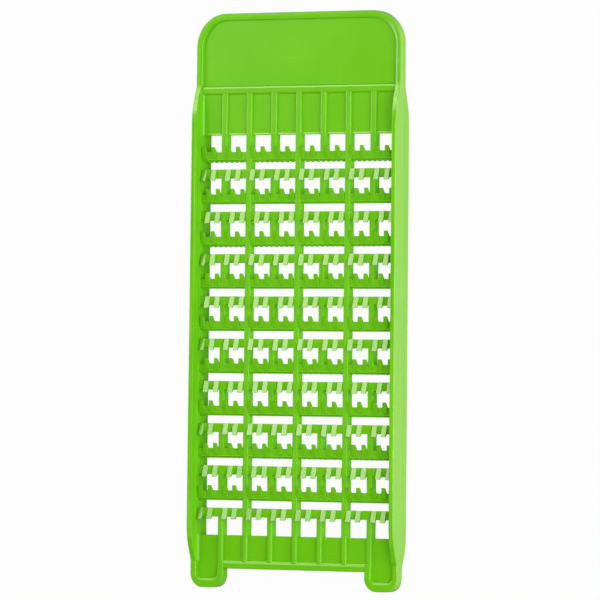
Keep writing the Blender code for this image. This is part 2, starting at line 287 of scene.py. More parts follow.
form = bmesh.new()
bmesh.ops.create_grid(form, x_segments=1, y_segments=1, size=FLOOR_SIZE / 2)
floor = new_object("floor", mesh_from(form, "floor", floor_finish))
print("floor", FLOOR_SIZE, "m wide")

# %% [markdown]
# ## Sky
# A photographer's light tent surrounds the grater: bright near the horizon and dim overhead. The dim top
# is what the flat faces mirror, so they keep their full colour. The camera itself sees plain white.

# %% Sky
HORIZON_LIGHT = 1.0
ZENITH_LIGHT = 0.16
HORIZON_REACH = 0.05  # height of a direction (0 to 1) up to which the sky is at its brightest
ZENITH_REACH = 0.45  # height from which it is at its darkest

world = bpy.data.worlds.new("light_tent")
bpy.context.scene.world = world
world.use_nodes = True
sheet = Sheet(world.node_tree)
direction = sheet.wire(sheet.node("ShaderNodeTexCoord"), "Generated")
height = sheet.wire(sheet.node("ShaderNodeSeparateXYZ", {}, {0: direction}), "Z")
tent = sheet.node("ShaderNodeMapRange", {"interpolation_type": "SMOOTHSTEP"}, {
    "Value": height, "From Min": HORIZON_REACH, "From Max": ZENITH_REACH,
    "To Min": HORIZON_LIGHT, "To Max": ZENITH_LIGHT,
})
soft = sheet.node("ShaderNodeBackground", {}, {"Strength": tent})
plain = sheet.node("ShaderNodeBackground", {}, {"Color": WHITE, "Strength": WHITE_LEVEL})
rays = sheet.node("ShaderNodeLightPath")
seen = sheet.wire(rays, "Is Camera Ray") + sheet.wire(rays, "Is Transmission Ray")
sky = sheet.node("ShaderNodeMixShader", {}, {0: seen, 1: soft, 2: plain})
sheet.node("ShaderNodeOutputWorld", {}, {"Surface": sky})
print("sky from", HORIZON_LIGHT, "down to", ZENITH_LIGHT)

# %% [markdown]
# ## Lamps
# Five soft boxes. The key hangs over the head's left, where faces that lean a little to the head mirror
# it, so the teeth that point down look pale while the rest stays deep green. The front box lights the
# whole field. The right one brightens the right rail's outer side and every right-hand edge, the left
# one draws a light line on every left-hand edge, and a small card gives the head a faint sheen.

# %% Soft boxes
# name: direction from the grater, distance, side and brightness (white paper is 1)
SOFT_BOXES = {
    "key_box": ((-0.455, 0.50, 0.70), 1.00, 0.38, 5.7),
    "front_box": ((0.58, -0.22, 0.79), 1.40, 1.00, 2.75),
    "right_box": ((0.87, 0.14, 0.46), 1.25, 0.85, 3.6),
    "left_box": ((-0.85, 0.14, 0.51), 0.55, 0.24, 3.2),
    "head_card": ((-0.54, 0.33, 0.78), 0.61, 0.14, 1.3),
}
WARM = (1.0, 0.955, 0.68)
NEUTRAL = (1.0, 1.0, 1.0)
for name, (toward, distance, side, brightness) in SOFT_BOXES.items():
    lamp = bpy.data.lights.new(name, "AREA")
    lamp.color = WARM if name == "key_box" else NEUTRAL
    lamp.shape = "SQUARE"
    lamp.size = side
    lamp.energy = brightness * pi * side * side
    stand = new_object(name, lamp)
    stand.location = Vector(toward).normalized() * distance
    stand.rotation_euler = Vector(toward).to_track_quat("Z", "Y").to_euler()
    print(name, round(lamp.energy, 2), "W")

# %% [markdown]
# ## Green plastic
# The grater is one colour, but no moulded surface is perfectly even. The colour drifts over centimetres,
# where the melt cooled at different speeds. Fine lines from the polishing of the mould run along the
# grater, and a very fine grain breaks the gloss. All three are noise on Object coordinates, so they stay
# on the piece from every side.
#
# Some faces differ: outer walls carry a painted sheen, rib and rail sides carry painted light and a
# painted glow, and the teeth are polished and carry painted shade. Each piece carries these marks on its
# faces, and the shader reads them as attributes. One function makes several plastics, because each part
# of the mould was finished in its own way.

# %% Colours and scales
DEEP_GREEN = (0.148, 0.555, 0.003, 1)
FRESH_GREEN = (0.180, 0.610, 0.007, 1)
WALL_SHEEN_GREEN = (0.315, 0.675, 0.098, 1)  # painted sheen on the outer walls
SIDE_LIGHT_GREEN = (0.170, 0.680, 0.005, 1)  # painted light on the sides of ribs and rails
SIDE_GLOW = (0.022, 0.090, 0.0, 1)  # painted glow on those sides
NO_GLOW = (0.0, 0.0, 0.0, 1)
# strength of the painted glow on rib and rail sides
GLOW_STRENGTH = 1.0
TOOTH_SHADE_GREEN = (0.02, 0.07, 0.0, 1)  # painted shade on the teeth
TOOTH_SHADE = 0.25  # share of that painted shade
DRIFT_SCALE = 38.0  # noise cells in a metre
STREAK_SCALE = (1100.0, 14.0, 1100.0)
WALL_SCALE = (400.0, 4.0, 420.0)
GRAIN_SCALE = 2600.0
AS_MAPPED = 1.0  # scale of a noise whose place is already stretched
DRIFT_NOISE = (3.0, 0.55)  # detail and roughness of each noise
LINE_NOISE = (2.0, 0.5)
GRAIN_NOISE = (2.0, 0.6)
DRIFT_TINT = 1.3  # how far the drift moves the colour from deep to fresh green
DRIFT_START = 0.15
BAND_TINT = 1.4  # contrast of the bands in the painted sheen of the outer walls
BAND_START = 0.3
BUMP_STRENGTH = 0.5
BUMP_HEIGHT = 1 * MM
LINE_SHINE = 0.10  # how far lines and drift change the roughness
DRIFT_SHINE = 0.08
PLASTIC_IOR = 1.46
SHEEN = 0.35  # mirror strength (0.5 is what the IOR gives), dulled by a film of wax
POLISH_ROUGHNESS = 0.2


# %% Plastics
def plastic(name, gloss, streak, grain, tint, paling=0.0):
    """A moulded green plastic: its roughness, the relief of its polishing lines and of its grain, how
    strongly the lines tint it and how far every face is paled towards the outer walls' sheen colour."""
    material = bpy.data.materials.new(name)
    material.use_nodes = True
    sheet = Sheet(material.node_tree)
    place = sheet.wire(sheet.node("ShaderNodeTexCoord"), "Object")
    height = sheet.wire(sheet.node("ShaderNodeSeparateXYZ", {}, {0: place}), "Z")
    stretched = sheet.node("ShaderNodeMapping", {}, {"Vector": place, "Scale": STREAK_SCALE})
    drawn = sheet.node("ShaderNodeMapping", {}, {"Vector": place, "Scale": WALL_SCALE})
    drift = sheet.noise(place, DRIFT_SCALE, *DRIFT_NOISE)
    lines = sheet.noise(stretched, AS_MAPPED, *LINE_NOISE)
    bands = sheet.noise(drawn, AS_MAPPED, *LINE_NOISE)
    speckle = sheet.noise(place, GRAIN_SCALE, *GRAIN_NOISE)

    shift = drift * DRIFT_TINT + lines * tint - (DRIFT_START + tint / 2)
    melt = sheet.blend(shift, DEEP_GREEN, FRESH_GREEN, clamped=False)
    # painted light on the sides of ribs and rails, stronger towards their back
    side_light = sheet.mark("painted_side_light") * (1 - height / RAIL_FRONT)
    lit = sheet.blend(side_light, melt, SIDE_LIGHT_GREEN)
    # painted sheen on the outer walls, in bands, and an even paling towards the same colour
    sheen_share = sheet.mark("painted_wall_sheen") * (bands * BAND_TINT + BAND_START) + paling
    with_sheen = sheet.blend(sheen_share, lit, WALL_SHEEN_GREEN)
    # painted shade on the teeth
    colour = sheet.blend(sheet.mark("deep_tone") * TOOTH_SHADE, with_sheen, TOOTH_SHADE_GREEN)

    bump = sheet.node("ShaderNodeBump", {}, {
        "Height": lines * streak + speckle * grain, "Strength": BUMP_STRENGTH, "Distance": BUMP_HEIGHT,
    })
    shine = lines * LINE_SHINE + drift * DRIFT_SHINE + (gloss - (LINE_SHINE + DRIFT_SHINE) / 2)
    shader = sheet.node("ShaderNodeBsdfPrincipled", {}, {
        "Base Color": colour, "Roughness": shine, "Normal": bump,
        "IOR": PLASTIC_IOR, "Specular IOR Level": SHEEN,
        "Coat Weight": sheet.mark("polish"), "Coat Roughness": POLISH_ROUGHNESS,
        # painted glow on the same sides
        "Emission Color": sheet.blend(side_light, NO_GLOW, SIDE_GLOW), "Emission Strength": GLOW_STRENGTH,
    })
    sheet.node("ShaderNodeOutputMaterial", {}, {"Surface": shader})
    print("plastic", name, len(sheet.tree.nodes), "nodes")
    return material


# roughness, relief of the lines, relief of the grain, tint of the lines and paling
head_plastic = plastic("satin_head", 0.24, 0.006, 0.010, 0.5)
rail_plastic = plastic("polished_rail", 0.22, 0.016, 0.006, 9.0)
plate_plastic = plastic("matt_plate", 0.24, 0.006, 0.014, 0.5)
rib_plastic = plastic("satin_rib", 0.22, 0.008, 0.008, 1.0, 0.08)
tooth_plastic = plastic("clean_tooth", 0.22, 0.004, 0.008, 0.5)

# %% [markdown]
# ## Sections, sweeps and lofts
# Nearly every feature of a moulding is a section drawn along a line: the rim, the ribs, the bars.
# A section is written as a few corners, each with the radius that the mould maker gave it. A geometry
# tree sweeps it along a path, and `loft` skins unlike sections where the shape changes on the way.

# %% Section helpers
ROUND_STEPS = 4  # facets around a corner
FEW_STEPS = 2  # and around the small corners of long pieces


def rounded(corners, steps=ROUND_STEPS):
    """A closed outline from corners (across, up, radius)."""
    outline = []
    for place, (x, y, radius) in enumerate(corners):
        corner = Vector((x, y))
        if not radius:
            outline.append(corner)
            continue
        before = (Vector(corners[place - 1][:2]) - corner).normalized()
        after = (Vector(corners[(place + 1) % len(corners)][:2]) - corner).normalized()
        half = before.angle(after) / 2
        centre = corner + (before + after).normalized() * radius / sin(half)
        start = corner + before * radius / tan(half) - centre
        end = corner + after * radius / tan(half) - centre
        first = atan2(start.y, start.x)
        turn = (atan2(end.y, end.x) - first + pi) % (2 * pi) - pi
        for step in range(steps + 1):
            angle = first + turn * step / steps
            outline.append(centre + radius * Vector((cos(angle), sin(angle))))
    return outline


def arc(centre, radius, start, end, steps):
    """Points along an arc, with both its ends."""
    turns = [start + (end - start) * step / steps for step in range(steps + 1)]
    return [Vector((centre[0] + radius * cos(turn), centre[1] + radius * sin(turn))) for turn in turns]


# %% [markdown]
# ## Geometry trees
# A geometry tree is built once, with named inputs, and run many times. Its inputs are set by their
# identifiers before the first evaluation. The result is turned into a plain mesh straight away, so that
# no modifier is left on a finished piece.

# %% Tree helpers
def polyline(name, points, closed):
    """A curve through points."""
    curve = bpy.data.curves.new(name, "CURVE")
    curve.dimensions = "3D"
    spline = curve.splines.new("POLY")
    spline.points.add(len(points) - 1)
    for point, place in zip(spline.points, points):
        point.co = (*place, 1)
    spline.use_cyclic_u = closed
    return new_object(name, curve)


def new_tree(name, inputs):
    """A geometry tree with a mesh input and named inputs."""
    tree = bpy.data.node_groups.new(name, "GeometryNodeTree")
    tree.interface.new_socket("Geometry", in_out="OUTPUT", socket_type="NodeSocketGeometry")
    tree.interface.new_socket("Geometry", in_out="INPUT", socket_type="NodeSocketGeometry")
    for label, kind in inputs.items():
        tree.interface.new_socket(label, in_out="INPUT", socket_type=kind)
    sheet = Sheet(tree)
    entry = sheet.node("NodeGroupInput")
    return sheet, {label: sheet.wire(entry, label) for label in ["Geometry", *inputs]}


def end_tree(sheet, geometry, finish):
    """Close a tree: copies made real, with a finish on them."""
    whole = sheet.node("GeometryNodeRealizeInstances", {}, {"Geometry": geometry})
    coloured = sheet.node("GeometryNodeSetMaterial", {}, {"Geometry": whole, "Material": finish})
    sheet.node("NodeGroupOutput", {}, {"Geometry": coloured})


def evaluated(shape):
    """The shape's mesh with its modifiers applied."""
    depsgraph = bpy.context.evaluated_depsgraph_get()
    return bpy.data.meshes.new_from_object(shape.evaluated_get(depsgraph))


def run_tree(shape, tree, values):
    """Apply a geometry tree to a shape, with its inputs set by identifier."""
    modifier = shape.modifiers.new(tree.name, "NODES")
    modifier.node_group = tree
    for socket in tree.interface.items_tree:
        if socket.in_out == "INPUT" and socket.name in values:
            modifier[socket.identifier] = values[socket.name]
    mesh = evaluated(shape)
    shape.modifiers.clear()
    shape.data = mesh


# %% [markdown]
# ## The sweep tree
# `Curve to Mesh` draws a section along a path. With the curve's normal set to Z up, the section's own
# x points to the right of the direction of travel and its y points down, so the helper turns the
# section over before it is drawn.

# %% Sweep
sweep_sheet, given = new_tree("sweep", {
    "Path": "NodeSocketObject", "Section": "NodeSocketObject", "Finish": "NodeSocketMaterial",
})
path_node = sweep_sheet.node("GeometryNodeObjectInfo", {}, {"Object": given["Path"]})
section_node = sweep_sheet.node("GeometryNodeObjectInfo", {}, {"Object": given["Section"]})
upright_path = sweep_sheet.node("GeometryNodeSetCurveNormal", {"mode": "Z_UP"}, {
    "Curve": sweep_sheet.wire(path_node, "Geometry"),
})
skin = sweep_sheet.node("GeometryNodeCurveToMesh", {}, {
    "Curve": upright_path, "Profile Curve": sweep_sheet.wire(section_node, "Geometry"), "Fill Caps": True,
})
end_tree(sweep_sheet, skin, given["Finish"])


def sweep(name, path, section, finish):
    """A section (right of travel, height) drawn along a path of 3D points."""
    line = polyline(name + "_path", path, False)
    outline = polyline(name + "_section", [(x, -z, 0) for x, z in section][::-1], True)
    shape = new_object(name, bpy.data.meshes.new(name))
    run_tree(shape, sweep_sheet.tree, {"Path": line, "Section": outline, "Finish": finish})
    for helper in (line, outline):
        bpy.data.objects.remove(helper)
    return shape


def along_y(name, x, start, end, section, finish):
    """A section (x, z) drawn along Y."""
    return sweep(name, [(x, start, 0), (x, end, 0)], section, finish)


def along_x(name, reach, section, finish):
    """A section (y, z) drawn along X, equally far to both sides."""
    return sweep(name, [(reach, 0, 0), (-reach, 0, 0)], section, finish)


print("sweep tree:", len(sweep_sheet.tree.nodes), "nodes")

# %% [markdown]
# ## Lofts
# Where the section changes along the way, as on a ramp or around a foot, a sweep can't follow. A loft
# joins ring after ring of points instead, and a flat plate is a loft of two equal rings.

# %% Lofts and slabs
def loft(name, rings, finish):
    """A closed skin over rings of 3D points, with flat ends."""
    form = bmesh.new()
    made = [[form.verts.new(point) for point in ring] for ring in rings]
    count = len(rings[0])
    for first, second in zip(made, made[1:]):
        for place in range(count):
            following = (place + 1) % count
            form.faces.new((first[place], first[following], second[following], second[place]))
    form.faces.new(made[0][::-1])
    form.faces.new(made[-1])
    bmesh.ops.recalc_face_normals(form, faces=form.faces)
    return new_object(name, mesh_from(form, name, finish))


def slab(name, outline, low, high, finish):
    """A flat outline between two heights."""
    return loft(name, [[(x, y, z) for x, y in outline] for z in (low, high)], finish)


# %% [markdown]
# ## Marks for the shader
# A mould has polished faces and rough ones, but the mesh is one skin. So each face gets four numbers
# from where it is and how it leans: how much painted sheen it has as an outer wall, how far it is
# polished, how much painted shade it has as a tooth, and how much painted light it has as a side.

# %% Face marks
FACE_MARKS = ("painted_wall_sheen", "polish", "deep_tone", "painted_side_light")
OUTER_PIECES = ("head_rim", "left_rail", "right_rail", "left_foot", "right_foot")
OUTER_REACH = 6.5 * MM
UNPOLISHED = ("exit_ridge", "left_foot", "right_foot")
POLISH_START = radians(7)  # faces that lean to the head between these angles are polished
POLISH_END = radians(29)
POLISH_FADE = radians(4)
PART_POLISH = 0.7  # rim and rails are less polished than the teeth
UP_SHADE = 0.4  # share of the painted shade on teeth that point up
WALL_START = 0.45  # a wall gets painted sheen from this share of its normal along X
SIDE_START = 0.8  # and as a rib's side from this share
RIB_SIDE_LIGHT = 1.7  # painted light on a rib's side, strongest at its back
RAIL_SIDE_LIGHT = 0.6  # painted light on a rail's inner side


def polished(lean):
    """How far a lean lies in the polished range, with a soft start and end."""
    return max(0, min((lean - POLISH_START) / POLISH_FADE, (POLISH_END - lean) / POLISH_FADE, 1))


def mark_faces(mesh, node):
    """Write the four numbers on each face of a node's mesh."""
    for name in FACE_MARKS:
        mesh.attributes.new(name, "FLOAT", "FACE")
    wall, polish, deep, side_light = [mesh.attributes[name].data for name in FACE_MARKS]
    for face in mesh.polygons:
        outward = face.normal.x * copysign(1, face.center.x)
        # painted sheen on outer walls, stronger the more they face outwards
        if node in OUTER_PIECES and abs(face.center.x) > SIDE - OUTER_REACH:
            wall[face.index].value = max(0, (outward - WALL_START) / (1 - WALL_START))
        # painted light on rail and rib sides
        if node.endswith("rail"):
            side_light[face.index].value = RAIL_SIDE_LIGHT * (outward < -SIDE_START)
        elif FIELD_END < face.center.y < FIELD_TOP and face.center.z < PANEL_FRONT:
            side_light[face.index].value = RIB_SIDE_LIGHT * (abs(face.normal.x) > SIDE_START)
        lean = atan2(face.normal.y, face.normal.z)
        if node == "head_rim":
            polish[face.index].value = polished(atan2(-outward, face.normal.z)) * PART_POLISH
        elif "tooth" in node:
            share = polished(abs(lean))
            polish[face.index].value = share * (lean > 0)
            # painted shade, in full on faces that lean to the head and in part on those that lean to the
            # feet
            deep[face.index].value = share if lean > 0 else share * UP_SHADE
        elif face.center.y < RAIL_TOP and node not in UNPOLISHED:
            polish[face.index].value = polished(lean) * PART_POLISH


# %% [markdown]
# ## Finished pieces
# `piece` joins the shapes of a node, marks and smooths them, and hands the result to the frame, where it
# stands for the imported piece. Weighted normals keep flat faces flat beside their round edges.

# %% Finished pieces
SHARP = radians(42)  # edges stay sharp from this angle
pieces = []


def piece(node, shapes):
    """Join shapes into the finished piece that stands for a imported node."""
    form = bmesh.new()
    for shape in shapes:
        form.from_mesh(shape.data)
    finish = shapes[0].data.materials[0]
    for shape in shapes:
        bpy.data.objects.remove(shape)
    mesh = mesh_from(form, node + "_moulding", finish)
    mark_faces(mesh, node)
    mesh.shade_smooth()
    mesh.set_sharp_from_angle(angle=SHARP)
    made = new_object(node + "_moulding", mesh)
    modifier = made.modifiers.new("flat_faces", "WEIGHTED_NORMAL")
    modifier.keep_sharp = True
    made.data = evaluated(made)
    made.modifiers.clear()
    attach(made, "root")
    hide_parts(node)
    pieces.append(made)


def show(title, count):
    """Print the last finished pieces and how many faces they have."""
    print(title, [(made.name, len(made.data.polygons)) for made in pieces[-count:]])


# %% [markdown]
# ## Head
# The head is a thin panel with a rim around it. The rim's front is narrow and flat, and a sloping
# flank leads down to the panel, so that fingers find no sharp corner. The rim is one section swept
# around the arch. The ridge under the head has the same flank towards the panel.

# %% Head rim and panel
HEAD_RADIUS = 17.6 * MM
ARC_STEPS = 20
RIM_FACE = 1.95 * MM
EDGE_ROUND = 0.55 * MM
SHOULDER = (0.65 * MM, 0.17 * MM)  # run and drop of the slight facet beside a corner
CORNER = 0.30 * MM  # the corner itself, broken at 45 degrees
CHAMFER = (SHOULDER[0] + CORNER, SHOULDER[1] + CORNER)
RIM_FLANK = (1.2 * MM + CORNER, 0.33 * MM + CORNER)
CREST = (1.0 * MM, 0.50 * MM)  # run and drop of an edge that leans towards the key light
CREST_ROUND = 0.3 * MM
CORNER_ROUND = 0.2 * MM
FOOT_ROUND = 0.15 * MM
WALL_LEAN = 0.12 * MM
DIP = 0.06 * MM  # a wall's foot ends this far under the panel's front
BACK_ROUND = 0.3 * MM


def flank(crest, height, facet):
    """Corners of a wall with a broken edge, from its foot in the panel up to the front face."""
    run, drop = facet
    return [
        (crest + run + WALL_LEAN + BURY, PANEL_FRONT - 2 * DIP, 0),
        (crest + run + WALL_LEAN, PANEL_FRONT - DIP, FOOT_ROUND),
        (crest + run, height - drop, CORNER_ROUND),
        (crest + run - CORNER, height - drop + CORNER, CORNER_ROUND),
        (crest, height, CREST_ROUND),
    ]


rim_section = rounded([
    (0, RIM_BACK, BACK_ROUND), (RIM_WIDTH, RIM_BACK, BACK_ROUND), (RIM_WIDTH, INSIDE, 0),
    (RIM_FACE + RIM_FLANK[0] + WALL_LEAN + BURY, INSIDE, 0),
    *flank(RIM_FACE, RIM_FRONT, RIM_FLANK),
    (0, RIM_FRONT, EDGE_ROUND),
])


def arch(inset, bottom):
    """The head's outline, drawn in by a distance, from bottom left over the top to bottom right."""
    side = SIDE - inset
    top = HEAD_TOP - inset
    radius = HEAD_RADIUS - inset
    left = arc((radius - side, top - radius), radius, pi, pi / 2, ARC_STEPS)
    right = arc((side - radius, top - radius), radius, pi / 2, 0, ARC_STEPS)
    return [Vector((-side, bottom))] + left + right + [Vector((side, bottom))]


# Marks of the gate and of an ejector on the rim: x, y, length
TICKS = [(-3.8 * MM, 148.3 * MM, 2.4 * MM), (60.2 * MM, 123.8 * MM, 1.0 * MM)]
TICK_RISE = 0.24 * MM
TICK_LEFT = 0.70 * MM  # run of a tick's left and right flank
TICK_RIGHT = 0.2 * MM
TOP_LEAD = 1.2 * MM  # the rails start this far above the ridge
RAIL_START = RAIL_TOP + TOP_LEAD
rim_path = [(x, y, 0) for x, y in arch(0, RAIL_START)]


def tick(x, y, length):
    """A low mark on the rim's front, steeper on its right."""
    section = [(-TICK_LEFT, -DIP), (TICK_RIGHT, -DIP), (TICK_RIGHT / 2, TICK_RISE), (0, TICK_RISE)]
    section = [(across, RIM_FRONT + up) for across, up in section]
    return along_y("tick", x, y - length / 2, y + length / 2, section, head_plastic)


ticks = [tick(*place) for place in TICKS]
piece("head_rim", [sweep("rim", rim_path, rim_section, head_plastic), *ticks])
panel_outline = arch(RIM_WIDTH - BURY, RAIL_TOP - BURY)
piece("head_panel", [slab("panel", panel_outline, PANEL_BACK, PANEL_FRONT, head_plastic)])
show("head:", 2)

# %% Head ridge
ridge_low, ridge_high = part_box("head_ridge")
RIDGE_DRAFT = 1.0 * MM
RIDGE_UP = 0.55 * MM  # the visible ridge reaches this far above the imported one
RIDGE_DOWN = 0.3 * MM  # and this far below it
ridge_crest = ridge_high.y + RIDGE_UP
ridge_sole = ridge_low.y - RIDGE_DOWN
# bars, plates and ridges end this far out, inside the rails
WALL_REACH = rail_inner(RIM_BACK, RAIL_TOP) + BURY
ridge_section = rounded([
    (ridge_sole - RIDGE_DRAFT, PANEL_BACK + DIP, 0), (ridge_crest + BURY, PANEL_BACK + DIP, 0),
    *flank(ridge_crest - CREST[0], RIB_FRONT, CREST),
    (ridge_sole, RIB_FRONT, CREST_ROUND), (ridge_sole - RIDGE_DRAFT, PANEL_FRONT - DIP, FOOT_ROUND),
])
piece("head_ridge", [along_x("ridge", WALL_REACH, ridge_section, head_plastic)])
print("ridge from", round(ridge_sole / MM, 1), "to", round(ridge_crest / MM, 1), "mm")

# %% [markdown]
# ## Rails
# A rail grows out of the head on a ramp, guides the vegetable along the teeth and sinks into a foot.
# Its inner face leans, so that the mould opens. The section changes along the ramps, so the rail is
# a loft: one rounded section at each station along the grater.

# %% Rails
# length and easing radius of each ramp
TOP_FRONT = (20.1 * MM, 40.0 * MM)
TOP_BACK = (20.0 * MM, 45.0 * MM)
FOOT_FRONT = (19.6 * MM, 42.0 * MM)
FOOT_BACK_RAMP = (16.2 * MM, 32.0 * MM)
BACK_LAG = 1.4 * MM  # behind, the upper ramp starts this far below the ridge's upper edge
FOOT_LEAD = 0.5 * MM  # in front, the lower ramp ends this far above the lower ridge
FOOT_LAG = 1.5 * MM  # and behind, this far below that ridge's upper edge, in the foot
OUTER_CHAMFER = 0.35 * MM
INNER_CHAMFER = 0.16 * MM
RAIL_ROUND = 0.25 * MM
RAIL_BACK_ROUND = 0.1 * MM
STATIONS = 18
FILLET = 1.8 * MM  # between a rail's inner face and the plates
FILLET_STEPS = 6
INNER_LEAN = atan2(RAIL_BACK_WALL - RAIL_FRONT_WALL, RAIL_FRONT)


def ramp_height(run, ramp, rise):
    """Height of a straight ramp that an arc eases into the level, at a distance from its foot."""
    length, radius = ramp
    slope = atan2(rise - radius, length) + asin(radius / hypot(length, rise - radius))
    run = min(max(run, 0), length)
    if run <= length - radius * sin(slope):
        return run * tan(slope)
    return rise - radius + sqrt(radius ** 2 - (length - run) ** 2)


def rail_section(y):
    """Corners of the right rail at a place along the grater."""
    rise = RAIL_FRONT - RIM_FRONT
    top_front = ramp_height(RAIL_START - y, TOP_FRONT, rise)
    foot_front = ramp_height(y - RAIL_END - FOOT_LEAD, FOOT_FRONT, rise)
    top_back = ramp_height(RAIL_TOP - BACK_LAG - y, TOP_BACK, RIM_BACK)
    foot_back = ramp_height(y - RAIL_END + FOOT_LAG, FOOT_BACK_RAMP, RIM_BACK)
    front = RIM_FRONT + min(top_front, foot_front)
    back = RIM_BACK - min(top_back, foot_back)
    outer = rail_outer(y)
    return rounded([
        (outer, back, RAIL_BACK_ROUND), (outer, front - OUTER_CHAMFER, RAIL_ROUND),
        (outer - OUTER_CHAMFER, front, RAIL_ROUND),
        (rail_inner(front, y) + INNER_CHAMFER, front, RAIL_ROUND),
        (rail_inner(front - INNER_CHAMFER, y), front - INNER_CHAMFER, RAIL_ROUND),
        (rail_inner(back, y), back, RAIL_BACK_ROUND),
    ], FEW_STEPS)


def fillet_section(y):
    """The hollow strip between the right rail's leaning face and a plate."""
    corner = rail_inner(PANEL_FRONT, y)
    centre = corner - FILLET * (1 - sin(INNER_LEAN)) / cos(INNER_LEAN)
    hollow = arc((centre, PANEL_FRONT + FILLET), FILLET, -INNER_LEAN, -pi / 2, FILLET_STEPS)
    inside = corner + BURY
    return [(inside, hollow[0].y), *hollow, (centre, PANEL_FRONT - BURY), (inside, PANEL_FRONT - BURY)]


upper_ramp = TOP_LEAD + BACK_LAG + TOP_BACK[0]
lower_ramp = FOOT_LEAD + FOOT_FRONT[0]
stations = [RAIL_START - upper_ramp * step / STATIONS for step in range(STATIONS + 1)]
stations += [RAIL_END + lower_ramp * step / STATIONS for step in range(STATIONS, -1, -1)]
entry_low, entry_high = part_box("entry_plate")
exit_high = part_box("exit_plate")[1]
for name, side in (("left_rail", -1), ("right_rail", 1)):
    rings = [[(side * x, y, z) for x, z in rail_section(y)] for y in stations]
    shapes = [loft("rail", rings, rail_plastic)]
    for ends in ((entry_low.y, entry_high.y), (RAIL_END, exit_high.y)):
        strips = [[(side * x, y, z) for x, z in fillet_section(y)] for y in ends]
        shapes.append(loft("fillet", strips, rail_plastic))
    piece(name, shapes)
show("rails:", 2)

# %% [markdown]
# ## Feet
# Each foot is a U-shaped wall around the end of an outer bay. The wall across the end is thicker than
# the sides, so the foot is a loft that follows the U and widens around the corners.

# %% Feet
FOOT_RADIUS = 7.4 * MM
FOOT_BACK = 3.9 * MM
FOOT_SPREAD = 0.6 * MM  # a foot's inner side stands this much nearer to the middle than its rib
SIDE_FACE = 2.3 * MM
INNER_FACE = 2.6 * MM
SOLE_FACE = 3.6 * MM
SOLE_CREST = (1.5 * MM, 0.76 * MM)
FOOT_DRAFT = 0.45 * MM  # at a corner the wall stands this much further out at its back
HEEL = 0.6 * MM  # under a rail the wall reaches this much further back
HEEL_RUN = 3.0 * MM
CORNER_STEPS = 12


def foot_rings(low):
    """Rings of the right foot's wall, from its outer top around the end to its inner top."""
    left = low.x - FOOT_SPREAD
    right = rail_outer(RAIL_END)
    bottom = low.y
    # place, direction, front and back of the wall at each stop
    stops = [
        (Vector((right, RAIL_END)), 0.0, RIM_FRONT, FOOT_BACK - HEEL),
        (Vector((right, RAIL_END - HEEL_RUN)), 0.0, RIM_FRONT, FOOT_BACK),
    ]
    for centre, start in ((right - FOOT_RADIUS, 0), (left + FOOT_RADIUS, -pi / 2)):
        around = arc((centre, bottom + FOOT_RADIUS), FOOT_RADIUS, start, start - pi / 2, CORNER_STEPS)
        for step, point in enumerate(around):
            stops.append((point, start - pi / 2 * step / CORNER_STEPS, RIM_FRONT, FOOT_BACK))
    stops.append((Vector((left, RAIL_END)), -pi, RIB_FRONT, FOOT_BACK))
    rings = []
    for point, turn, front, back in stops:
        inward = Vector((-cos(turn), -sin(turn)))
        across_end = sin(turn) ** 2
        draft = FOOT_DRAFT * sin(2 * turn) ** 2
        side_face = SIDE_FACE if turn > -pi / 2 else INNER_FACE
        face = side_face + (SOLE_FACE - side_face) * across_end
        facet = [side + (sole - side) * across_end for side, sole in zip(CHAMFER, SOLE_CREST)]
        section = rounded([
            (-draft, back, BACK_ROUND), (face + BURY, back, BACK_ROUND),
            (face + BURY, INSIDE, 0),
            (face + facet[0] + WALL_LEAN + BURY, INSIDE, 0),
            *flank(face, front, facet),
            (0, front, EDGE_ROUND),
        ])
        rings.append([(*(point + inward * across), z) for across, z in section])
    return rings


foot_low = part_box("right_foot")[0]
right_rings = foot_rings(foot_low)
left_rings = [[(-x, y, z) for x, y, z in ring] for ring in right_rings]
piece("right_foot", [loft("foot", right_rings, head_plastic)])
piece("left_foot", [loft("foot", left_rings, head_plastic)])
show("feet:", 2)

# %% [markdown]
# ## Plates and lower ridge
# Thin plates close the grater above and below the teeth. The upper one ends in a small raised lip over
# the first window, which catches the light. The lower ridge joins the feet: a flank towards the plate,
# a flat face, a shallow groove and a round lower band.

# %% Plates
LIP_RISE = 0.2 * MM
LIP_FACE = 0.4 * MM
LIP_FLANK = 0.6 * MM
LIP_ROUND = 0.2 * MM
LIP_DOWN = 0.25 * MM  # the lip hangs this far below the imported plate
lip = entry_low.y - LIP_DOWN
entry_section = rounded([
    (lip, PANEL_BACK, BACK_ROUND), (entry_high.y + BURY, PANEL_BACK, 0),
    (entry_high.y + BURY, PANEL_FRONT, 0), (lip + LIP_FACE + LIP_FLANK, PANEL_FRONT, LIP_ROUND),
    (lip + LIP_FACE, PANEL_FRONT + LIP_RISE, LIP_ROUND), (lip, PANEL_FRONT + LIP_RISE, LIP_ROUND),
])
piece("entry_plate", [along_x("plate", WALL_REACH, entry_section, plate_plastic)])

exit_ridge_low, exit_ridge_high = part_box("exit_ridge")
tongue_inner = foot_low.x - FOOT_SPREAD + INNER_FACE
tongue_outer = rail_outer(RAIL_END) - SIDE_FACE
tongue_end = foot_low.y + SOLE_FACE
shoulder = exit_ridge_high.y - BURY
half_plate = [
    (WALL_REACH, exit_high.y), (WALL_REACH, RAIL_END), (tongue_outer, RAIL_END),
    (tongue_outer, tongue_end), (tongue_inner, tongue_end), (tongue_inner, shoulder),
]
exit_outline = half_plate + [(-x, y) for x, y in half_plate[::-1]]
piece("exit_plate", [slab("plate", exit_outline, PANEL_BACK, PANEL_FRONT, plate_plastic)])
show("plates:", 2)

